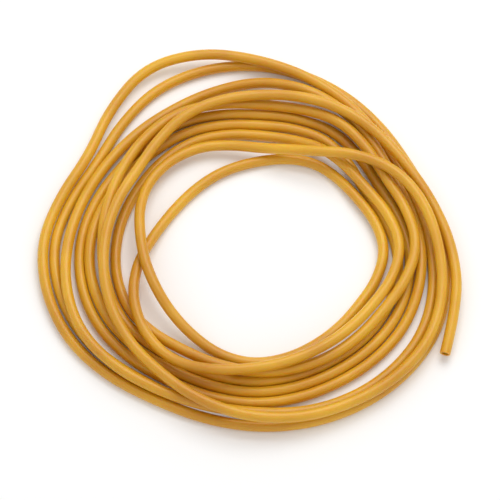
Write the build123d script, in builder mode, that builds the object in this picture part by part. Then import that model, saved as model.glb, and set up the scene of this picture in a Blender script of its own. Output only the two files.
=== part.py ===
# Coil of amber latex laboratory tubing, as it lies loose on a bench.
# One length of plain round tube, wound by hand into ten uneven turns, with both ends cut square.
# Millimetres, +Z up. The origin is on the bench, under the middle of the coil's box.

import math
import os

from build123d import *

# Tube
bore_diameter = 4.0
wall = 1.0
outer_diameter = bore_diameter + 2 * wall

# Coil, and the gaps between turns that lie side by side and one on another
coil_radius = 119.0
side_gap = 0.2
lay_gap = 0.5

# How far the tube lies from the coil's middle, as shares of the coil's radius. Each row is one turn, in the
# order in which the turns were laid. Its values run clockwise, from about 330 degrees in steps of about 30.
# The first row starts late, at the end that lies underneath, and the last has one more value, for the free end.
turn_reach_shares = (
    (0.855, 0.933, 0.944, 0.867, 0.957, 1.005, 0.928, 0.836, 0.886),
    (0.981, 0.983, 0.923, 0.909, 0.987, 0.998, 0.921, 1.07, 0.96, 0.874, 0.782, 0.832),
    (0.927, 0.929, 0.869, 0.882, 0.96, 0.89, 0.813, 0.815, 0.85, 0.82, 0.728, 0.778),
    (0.803, 0.806, 0.815, 0.801, 0.845, 0.834, 0.759, 0.759, 0.722, 0.764, 0.674, 0.724),
    (0.748, 0.752, 0.761, 0.747, 0.79, 0.776, 0.705, 0.703, 0.666, 0.708, 0.62, 0.67),
    (0.693, 0.698, 0.707, 0.693, 0.733, 0.716, 0.733, 0.787, 0.78, 0.792, 0.70, 0.751),
    (0.72, 0.725, 0.652, 0.639, 0.672, 0.656, 0.651, 0.646, 0.61, 0.65, 0.646, 0.697),
    (0.638, 0.642, 0.68, 0.735, 0.645, 0.505, 0.425, 0.42, 0.455, 0.522, 0.564, 0.614),
    (0.578, 0.576, 0.594, 0.545, 0.50, 0.515, 0.597, 0.589, 0.553, 0.592, 0.754, 0.858),
    (0.955, 0.957, 0.896, 0.82, 0.762, 0.686, 0.672, 0.731, 0.752, 0.83, 0.815, 0.94, 1.035),
)
hidden_end_direction = 240.0
free_end_direction = -33.0
stations_per_turn = 24

# How the turns settle on each other: the height that the tube can lose from one station to the next, as a
# share of its diameter, how many stations it takes to come down, and how often along them its height is tried.
# Turns cross at a slant, so the one below is looked at a little before and after, in shares of a station.
fall_share = 0.65
settle_stations = 4
tries_per_station = 4
slant_shares = [number / 10 for number in range(-6, 7)]

# Each bend takes this share of the shorter straight run beside it.
bend_share = 0.45


def station_shares():
    """The table's reach shares, with one more between each two of them."""
    shares = [share for row in turn_reach_shares for share in row]
    last = len(shares) - 1
    stations = []
    for index in range(last):
        before = shares[max(index - 1, 0)]
        after = shares[min(index + 2, last)]
        stations.append(shares[index])
        stations.append((9 * (shares[index] + shares[index + 1]) - before - after) / 16)
    stations.append(shares[last])
    return stations


def between(values, place):
    """The tube's smooth line through station values, at a place counted in stations."""
    near = min(max(round(place), 1), len(values) - 2)
    part = place - near
    before = (0.5 - part) ** 2 / 2
    after = (0.5 + part) ** 2 / 2
    return before * values[near - 1] + (1 - before - after) * values[near] + after * values[near + 1]


def centred(values):
    """The same values, with the middle of the smooth line at zero."""
    tries = range(tries_per_station * (len(values) - 1) + 1)
    line = [between(values, index / tries_per_station) for index in tries]
    middle = (min(line) + max(line)) / 2
    return [value - middle for value in values]


def plan_points():
    """The turns seen from above. Each point stands outside its turn, so that the runs touch the turn."""
    shares = station_shares()
    whole_turns = len(turn_reach_shares) - 1
    angle_wound = hidden_end_direction - free_end_direction + 360 * whole_turns
    step = math.radians(angle_wound) / (len(shares) - 1)
    xs = []
    ys = []
    for index, share in enumerate(shares):
        angle = math.radians(hidden_end_direction) - index * step
        reach = share * coil_radius / math.cos(step / 2)
        xs.append(reach * math.cos(angle))
        ys.append(reach * math.sin(angle))
    return centred(xs), centred(ys)


def clear_height(xs, ys, heights, place):
    """The lowest height at which the tube clears the turns that lie under it."""
    side_pitch = outer_diameter + side_gap
    lay_pitch = outer_diameter + lay_gap
    height = outer_diameter / 2
    x = between(xs, place)
    y = between(ys, place)
    under = place - stations_per_turn
    while under > 0:
        for slant in slant_shares:
            other = max(under + slant, 0)
            aside = math.hypot(x - between(xs, other), y - between(ys, other))
            if aside < side_pitch:
                rise = lay_pitch * math.sqrt(1 - (aside / side_pitch) ** 2)
                height = max(height, between(heights, other) + rise)
        under -= stations_per_turn
    return height


def laid_heights(xs, ys):
    """The height of each station, laid turn over turn from the end that lies underneath."""
    fall = fall_share * outer_diameter
    reach = settle_stations * tries_per_station
    last_try = (len(xs) - 1) * tries_per_station
    heights = []
    for index in range(len(xs)):
        centre_try = index * tries_per_station
        height = outer_diameter / 2
        for number in range(max(centre_try - reach, 0), min(centre_try + reach, last_try) + 1):
            away = abs(number - centre_try) / tries_per_station
            clear = clear_height(xs, ys, heights, number / tries_per_station)
            height = max(height, clear - fall * max(away - 1, 0))
        heights.append(height)
    return heights


def bend_radii(points):
    """The largest radius that the two runs at each inner point leave room for."""
    radii = []
    for before, here, after in zip(points, points[1:], points[2:]):
        first_run = here - before
        second_run = after - here
        half_turn = math.radians(first_run.get_angle(second_run)) / 2
        shorter = min(first_run.length, second_run.length)
        radii.append(bend_share * shorter / math.tan(half_turn))
    return radii


os.makedirs("parts", exist_ok=True)

plan_xs, plan_ys = plan_points()
plan_heights = laid_heights(plan_xs, plan_ys)
route_points = [Vector(*point) for point in zip(plan_xs, plan_ys, plan_heights)]
radii = bend_radii(route_points)

# The tube: its outside swept along the whole route, and its bore swept out of it
with BuildPart() as tubing:
    with BuildLine() as route:
        FilletPolyline(*route_points, radius=radii)
    path = Wire(route.line.edges())
    first_end = Plane(origin=path @ 0, z_dir=path % 0)
    with BuildSketch(first_end):
        Circle(outer_diameter / 2)
    sweep(path=path)
    with BuildSketch(first_end):
        Circle(bore_diameter / 2)
    sweep(path=path, mode=Mode.SUBTRACT)

tubing.part.label = "tubing"
export_step(tubing.part, "parts/tubing.step")

section = math.pi / 4 * (outer_diameter**2 - bore_diameter**2)
print("bend radii", [round(radius) for radius in radii])
print("smallest bend radius", round(min(radii), 1))
print("tube length", round(path.length, 1))
print("volume over section times length", round(tubing.part.volume / (section * path.length), 6))
print("highest point", round(max(plan_heights) + outer_diameter / 2, 1))
print("free end at", tuple(path @ 1), "pointing", tuple(path % 1))
print("hidden end at", tuple(path @ 0), "pointing", tuple(path % 0))
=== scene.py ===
# Coil of amber latex laboratory tubing: its looks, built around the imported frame. Metres, +Z up.

import math

import bpy
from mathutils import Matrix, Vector


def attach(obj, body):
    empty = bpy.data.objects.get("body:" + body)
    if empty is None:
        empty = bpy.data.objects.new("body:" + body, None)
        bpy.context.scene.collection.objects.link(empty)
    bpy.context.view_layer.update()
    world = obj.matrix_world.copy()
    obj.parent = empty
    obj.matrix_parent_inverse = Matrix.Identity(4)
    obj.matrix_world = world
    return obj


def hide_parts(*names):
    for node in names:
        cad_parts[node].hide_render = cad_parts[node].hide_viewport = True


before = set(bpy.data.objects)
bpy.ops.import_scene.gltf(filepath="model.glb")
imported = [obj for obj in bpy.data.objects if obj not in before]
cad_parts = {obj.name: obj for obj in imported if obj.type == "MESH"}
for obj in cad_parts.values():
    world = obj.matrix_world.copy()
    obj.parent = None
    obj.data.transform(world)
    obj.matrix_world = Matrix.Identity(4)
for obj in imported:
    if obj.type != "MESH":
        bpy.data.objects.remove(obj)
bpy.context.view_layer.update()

# Tube and coil, as in the part's source
bore_diameter = 0.004
wall = 0.001
outer_diameter = bore_diameter + 2 * wall
coil_radius = 0.119
side_gap = 0.0002
lay_gap = 0.0005

# How far the tube lies from the coil's middle, as shares of the coil's radius. Each row is one turn, in the
# order in which the turns were laid. Its values run clockwise, from about 330 degrees in steps of about 30.
# The first row starts late, at the end that lies underneath, and the last has one more value, for the free
# end. These are the part's own turns, moved by less than 10 mm to lie as in the photograph.
turn_reach_shares = (
    (0.854, 0.931, 0.957, 0.872, 0.97, 0.976, 0.904, 0.836, 0.884),
    (0.944, 0.94, 0.918, 0.908, 0.993, 1.008, 0.92, 1.086, 0.973, 0.86, 0.782, 0.818),
    (0.89, 0.888, 0.858, 0.878, 0.938, 0.884, 0.829, 0.832, 0.869, 0.81, 0.728, 0.772),
    (0.801, 0.793, 0.804, 0.80, 0.845, 0.832, 0.768, 0.752, 0.70, 0.714, 0.658, 0.72),
    (0.746, 0.74, 0.75, 0.746, 0.792, 0.784, 0.714, 0.692, 0.643, 0.655, 0.585, 0.663),
    (0.691, 0.687, 0.697, 0.692, 0.737, 0.722, 0.738, 0.779, 0.733, 0.743, 0.685, 0.751),
    (0.685, 0.68, 0.666, 0.644, 0.683, 0.66, 0.636, 0.634, 0.587, 0.587, 0.585, 0.676),
    (0.632, 0.638, 0.674, 0.733, 0.65, 0.495, 0.423, 0.42, 0.45, 0.519, 0.533, 0.602),
    (0.565, 0.577, 0.604, 0.558, 0.533, 0.545, 0.60, 0.575, 0.49, 0.525, 0.735, 0.85),
    (0.944, 0.927, 0.905, 0.817, 0.762, 0.70, 0.664, 0.736, 0.758, 0.788, 0.803, 0.916, 1.028),
)
hidden_end_direction = 240.0
free_end_direction = -33.0
stations_per_turn = 24

# How the turns settle on each other, as in the part's source: the height that the tube can lose from one
# station to the next, as a share of its diameter, how many stations it takes to come down, and how often
# along them its height is tried. Turns cross at a slant, so the one below is looked at a little before and
# after, in shares of a station.
fall_share = 0.65
settle_stations = 4
tries_per_station = 4
slant_shares = [number / 10 for number in range(-6, 7)]

# Mesh of the tube: how finely it is divided, the rounding of its cut edges, the angle from which an edge
# shows sharp, and the slight swelling of its thickness along its length, in two waves
line_points_per_run = 8
sides = 24
cut_rounding = 0.00015
sharp_angle = math.radians(40)
swell_share = 0.008
swell_lengths = (0.031, 0.083)

# Latex: two ambers, where each stands on the colour ramp, and the slow noise that mixes them
dark_amber = (0.62, 0.285, 0.008, 1.0)
light_amber = (0.79, 0.450, 0.021, 1.0)
dark_amber_share = 0.3
light_amber_share = 0.7
drift_scale = 22.0
drift_detail = 2.0

# Its satin finish, from a fine grain, and the faint lines that run along it
grain_scale = 900.0
grain_detail = 2.0
lowest_roughness = 0.30
highest_roughness = 0.46
lines_scale = 5.0
lines_detail = 3.0
lines_stretch = (1.0, 1.0, 0.04)
lines_strength = 0.25
lines_depth = 0.0002

# How light goes into it
scatter_weight = 0.9
scatter_radius = (1.0, 0.5, 0.12)
scatter_scale = 0.001
latex_ior = 1.52

# View, from the photograph
view_elevation = math.radians(64)
view_distance = 1.6
view_width = 0.28
sensor_width = 36.0
aim = Vector((0.0006, -0.0088, 0.005))

# Light and floor
sky_colour = (1.0, 1.0, 1.0, 1.0)
sky_strength = 0.74
key_power = 6.5
key_size = 0.8
key_place = Vector((0.2, 0.55, 1.05))
floor_size = 6.0
floor_colour = (0.97, 0.97, 0.97, 1.0)
floor_lift = 0.02


def station_shares():
    """The table's reach shares, with one more between each two, on the smooth curve through four of them."""
    shares = [share for row in turn_reach_shares for share in row]
    last = len(shares) - 1
    stations = []
    for index in range(last):
        before = shares[max(index - 1, 0)]
        after = shares[min(index + 2, last)]
        stations.append(shares[index])
        stations.append((9 * (shares[index] + shares[index + 1]) - before - after) / 16)
    stations.append(shares[last])
    return stations


def between(values, place):
    """The tube's smooth line, a quadratic spline led by station values, at a place counted in stations."""
    near = min(max(round(place), 1), len(values) - 2)
    part = place - near
    before = (0.5 - part) ** 2 / 2
    after = (0.5 + part) ** 2 / 2
    return before * values[near - 1] + (1 - before - after) * values[near] + after * values[near + 1]


def centred(values):
    """The same values, with the middle of the smooth line at zero."""
    tries = range(tries_per_station * (len(values) - 1) + 1)
    line = [between(values, index / tries_per_station) for index in tries]
    middle = (min(line) + max(line)) / 2
    return [value - middle for value in values]


def plan_points():
    """The turns seen from above. Each point stands outside its turn, so that the runs touch the turn."""
    shares = station_shares()
    whole_turns = len(turn_reach_shares) - 1
    angle_wound = hidden_end_direction - free_end_direction + 360 * whole_turns
    step = math.radians(angle_wound) / (len(shares) - 1)
    xs = []
    ys = []
    for index, share in enumerate(shares):
        angle = math.radians(hidden_end_direction) - index * step
        reach = share * coil_radius / math.cos(step / 2)
        xs.append(reach * math.cos(angle))
        ys.append(reach * math.sin(angle))
    return centred(xs), centred(ys)


def clear_height(xs, ys, heights, place):
    """The lowest height at which the tube clears the turns that lie under it."""
    side_pitch = outer_diameter + side_gap
    lay_pitch = outer_diameter + lay_gap
    height = outer_diameter / 2
    x = between(xs, place)
    y = between(ys, place)
    under = place - stations_per_turn
    while under > 0:
        for slant in slant_shares:
            other = max(under + slant, 0)
            aside = math.hypot(x - between(xs, other), y - between(ys, other))
            if aside < side_pitch:
                rise = lay_pitch * math.sqrt(1 - (aside / side_pitch) ** 2)
                height = max(height, between(heights, other) + rise)
        under -= stations_per_turn
    return height


def laid_heights(xs, ys):
    """The height of each station, laid turn over turn from the end that lies underneath."""
    fall = fall_share * outer_diameter
    reach = settle_stations * tries_per_station
    last_try = (len(xs) - 1) * tries_per_station
    heights = []
    for index in range(len(xs)):
        centre_try = index * tries_per_station
        height = outer_diameter / 2
        for number in range(max(centre_try - reach, 0), min(centre_try + reach, last_try) + 1):
            away = abs(number - centre_try) / tries_per_station
            clear = clear_height(xs, ys, heights, number / tries_per_station)
            height = max(height, clear - fall * max(away - 1, 0))
        heights.append(height)
    return heights


def smooth_line(points):
    """The tube's middle line, read from a NURBS spline with the route's points as its control points."""
    curve = bpy.data.curves.new("route", "CURVE")
    curve.dimensions = "3D"
    spline = curve.splines.new("NURBS")
    spline.points.add(len(points) - 1)
    for control, point in zip(spline.points, points):
        control.co = (*point, 1.0)
    spline.order_u = 3
    spline.use_endpoint_u = True
    spline.resolution_u = line_points_per_run
    carrier = bpy.data.objects.new("route", curve)
    mesh = bpy.data.meshes.new_from_object(carrier)
    line = [vertex.co.copy() for vertex in mesh.vertices]
    bpy.data.objects.remove(carrier)
    bpy.data.curves.remove(curve)
    bpy.data.meshes.remove(mesh)
    return line


def line_frames(line):
    """At each point of the line, its direction and two directions across it, carried along without twist."""
    last = len(line) - 1
    frames = []
    side = Vector((0.0, 0.0, 1.0))
    for index in range(len(line)):
        ahead = (line[min(index + 1, last)] - line[max(index - 1, 0)]).normalized()
        side = (side - ahead * side.dot(ahead)).normalized()
        frames.append((ahead, side, ahead.cross(side)))
    return frames


def lengths_along(line):
    """The length of the line up to each of its points."""
    lengths = [0.0]
    for before, here in zip(line, line[1:]):
        lengths.append(lengths[-1] + (here - before).length)
    return lengths


def tube_rows(line):
    """Rows of the tube's wall: out along its outside, over the cut, and back along its bore."""
    outer = outer_diameter / 2
    bore = bore_diameter / 2
    frames = line_frames(line)
    lengths = lengths_along(line)
    last = len(line) - 1

    def row(index, radius, shift=0.0):
        ahead, side, up = frames[index]
        swell = 1.0
        for number, wave in enumerate(swell_lengths):
            swell += swell_share / 2 * math.sin(2 * math.pi * lengths[index] / wave + number)
        return line[index] + ahead * shift, side * radius * swell, up * radius * swell, lengths[index]

    inner = range(1, last)
    rows = [row(0, outer - cut_rounding), row(0, outer, cut_rounding)]
    rows += [row(index, outer) for index in inner]
    rows += [row(last, outer, -cut_rounding), row(last, outer - cut_rounding)]
    rows += [row(last, bore + cut_rounding), row(last, bore, -cut_rounding)]
    rows += [row(index, bore) for index in reversed(inner)]
    rows += [row(0, bore, cut_rounding), row(0, bore + cut_rounding)]
    return rows


def tube_mesh(line):
    """The tube's closed wall, with each point's place round and along the tube kept for its material."""
    verts = []
    places = []
    faces = []
    rows = tube_rows(line)
    for centre, side, up, along in rows:
        for number in range(sides):
            angle = 2 * math.pi * number / sides
            verts.append(centre + side * math.cos(angle) + up * math.sin(angle))
            places.extend((math.cos(angle), math.sin(angle), along / outer_diameter))
    for index in range(len(rows)):
        here = index * sides
        there = (index + 1) % len(rows) * sides
        for number in range(sides):
            beside = (number + 1) % sides
            faces.append((here + number, here + beside, there + beside, there + number))
    mesh = bpy.data.meshes.new("tubing_wall")
    mesh.from_pydata(verts, [], faces)
    place = mesh.attributes.new("tube_place", "FLOAT_VECTOR", "POINT")
    place.data.foreach_set("vector", places)
    mesh.shade_smooth()
    mesh.set_sharp_from_angle(angle=sharp_angle)
    mesh.update()
    return mesh


def new_material(name):
    """An empty node material, with its output."""
    material = bpy.data.materials.new(name)
    material.use_nodes = True
    nodes = material.node_tree.nodes
    nodes.clear()
    output = nodes.new("ShaderNodeOutputMaterial")
    return material, nodes, material.node_tree.links, output


def noise(nodes, links, place, scale, detail):
    """The value of a noise texture, from the place that it is looked up at."""
    texture = nodes.new("ShaderNodeTexNoise")
    texture.inputs["Scale"].default_value = scale
    texture.inputs["Detail"].default_value = detail
    links.new(place, texture.inputs["Vector"])
    return texture.outputs["Fac"]


def larger(nodes, links, first, second):
    """The larger of two values."""
    node = nodes.new("ShaderNodeMath")
    node.operation = "MAXIMUM"
    links.new(first, node.inputs[0])
    links.new(second, node.inputs[1])
    return node.outputs["Value"]


def latex_material():
    """Amber latex: translucent, satin, with slow drifts of colour and faint lines along the tube."""
    material, nodes, links, output = new_material("amber_latex")
    shader = nodes.new("ShaderNodeBsdfPrincipled")
    links.new(shader.outputs["BSDF"], output.inputs["Surface"])
    object_place = nodes.new("ShaderNodeTexCoord").outputs["Object"]

    colours = nodes.new("ShaderNodeValToRGB")
    dark, light = colours.color_ramp.elements
    dark.position = dark_amber_share
    dark.color = dark_amber
    light.position = light_amber_share
    light.color = light_amber
    links.new(noise(nodes, links, object_place, drift_scale, drift_detail), colours.inputs["Fac"])
    links.new(colours.outputs["Color"], shader.inputs["Base Color"])

    gloss = nodes.new("ShaderNodeMapRange")
    gloss.inputs["To Min"].default_value = lowest_roughness
    gloss.inputs["To Max"].default_value = highest_roughness
    links.new(noise(nodes, links, object_place, grain_scale, grain_detail), gloss.inputs["Value"])
    links.new(gloss.outputs["Result"], shader.inputs["Roughness"])

    tube_place = nodes.new("ShaderNodeAttribute")
    tube_place.attribute_name = "tube_place"
    stretch = nodes.new("ShaderNodeVectorMath")
    stretch.operation = "MULTIPLY"
    stretch.inputs[1].default_value = lines_stretch
    links.new(tube_place.outputs["Vector"], stretch.inputs[0])
    bump = nodes.new("ShaderNodeBump")
    bump.inputs["Strength"].default_value = lines_strength
    bump.inputs["Distance"].default_value = lines_depth
    lines = noise(nodes, links, stretch.outputs["Vector"], lines_scale, lines_detail)
    links.new(lines, bump.inputs["Height"])
    links.new(bump.outputs["Normal"], shader.inputs["Normal"])

    shader.inputs["Subsurface Weight"].default_value = scatter_weight
    shader.inputs["Subsurface Radius"].default_value = scatter_radius
    shader.inputs["Subsurface Scale"].default_value = scatter_scale
    shader.inputs["IOR"].default_value = latex_ior
    return material


def seen_by_eye(nodes, links):
    """1 for rays that show the background: straight to the camera, by reflection or through a wall."""
    rays = nodes.new("ShaderNodeLightPath").outputs
    straight_or_reflected = larger(nodes, links, rays["Is Camera Ray"], rays["Is Glossy Ray"])
    return larger(nodes, links, straight_or_reflected, rays["Is Transmission Ray"])


def floor_material():
    """A pale floor that shows white, with the coil's soft shadow."""
    material, nodes, links, output = new_material("pale_floor")
    diffuse = nodes.new("ShaderNodeBsdfDiffuse")
    diffuse.inputs["Color"].default_value = floor_colour
    lift = nodes.new("ShaderNodeMath")
    lift.operation = "MULTIPLY"
    lift.inputs[1].default_value = floor_lift
    links.new(seen_by_eye(nodes, links), lift.inputs[0])
    glow = nodes.new("ShaderNodeEmission")
    links.new(lift.outputs["Value"], glow.inputs["Strength"])
    both = nodes.new("ShaderNodeAddShader")
    links.new(diffuse.outputs["BSDF"], both.inputs[0])
    links.new(glow.outputs["Emission"], both.inputs[1])
    links.new(both.outputs["Shader"], output.inputs["Surface"])
    return material


def add_object(name, data):
    """A new object in the scene, from its mesh, lamp or lens."""
    added = bpy.data.objects.new(name, data)
    bpy.context.scene.collection.objects.link(added)
    return added


def facing(direction):
    """The rotation of a lamp or camera that looks along a direction."""
    return direction.to_track_quat("-Z", "Y").to_euler()


def add_tubing():
    """The whole tube, in place of its plain solid."""
    xs, ys = plan_points()
    line = smooth_line(list(zip(xs, ys, laid_heights(xs, ys))))
    tubing = add_object("latex_tubing", tube_mesh(line))
    tubing.data.materials.append(latex_material())
    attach(tubing, "root")
    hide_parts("tubing")


def add_floor():
    """The surface that the coil lies on."""
    half = floor_size / 2
    mesh = bpy.data.meshes.new("floor")
    corners = [(-half, -half, 0.0), (half, -half, 0.0), (half, half, 0.0), (-half, half, 0.0)]
    mesh.from_pydata(corners, [], [(0, 1, 2, 3)])
    mesh.materials.append(floor_material())
    add_object("floor", mesh)


def add_lights():
    """An even sky and one large soft lamp above and behind the coil."""
    world = bpy.data.worlds.new("studio")
    world.use_nodes = True
    sky = world.node_tree.nodes["Background"]
    sky.inputs["Color"].default_value = sky_colour
    sky.inputs["Strength"].default_value = sky_strength
    bpy.context.scene.world = world
    lamp = bpy.data.lights.new("key", "AREA")
    lamp.energy = key_power
    lamp.size = key_size
    key = add_object("key", lamp)
    key.location = key_place
    key.rotation_euler = facing(-key_place)


def add_camera():
    """A long lens that looks down on the coil as the photograph does."""
    lens = bpy.data.cameras.new("camera")
    lens.sensor_width = sensor_width
    lens.lens = sensor_width * view_distance / view_width
    camera = add_object("camera", lens)
    back = Vector((0.0, -math.cos(view_elevation), math.sin(view_elevation)))
    camera.location = aim + back * view_distance
    camera.rotation_euler = facing(-back)
    bpy.context.scene.camera = camera


bpy.context.scene.view_settings.view_transform = "Standard"
add_tubing()
add_floor()
add_lights()
add_camera()
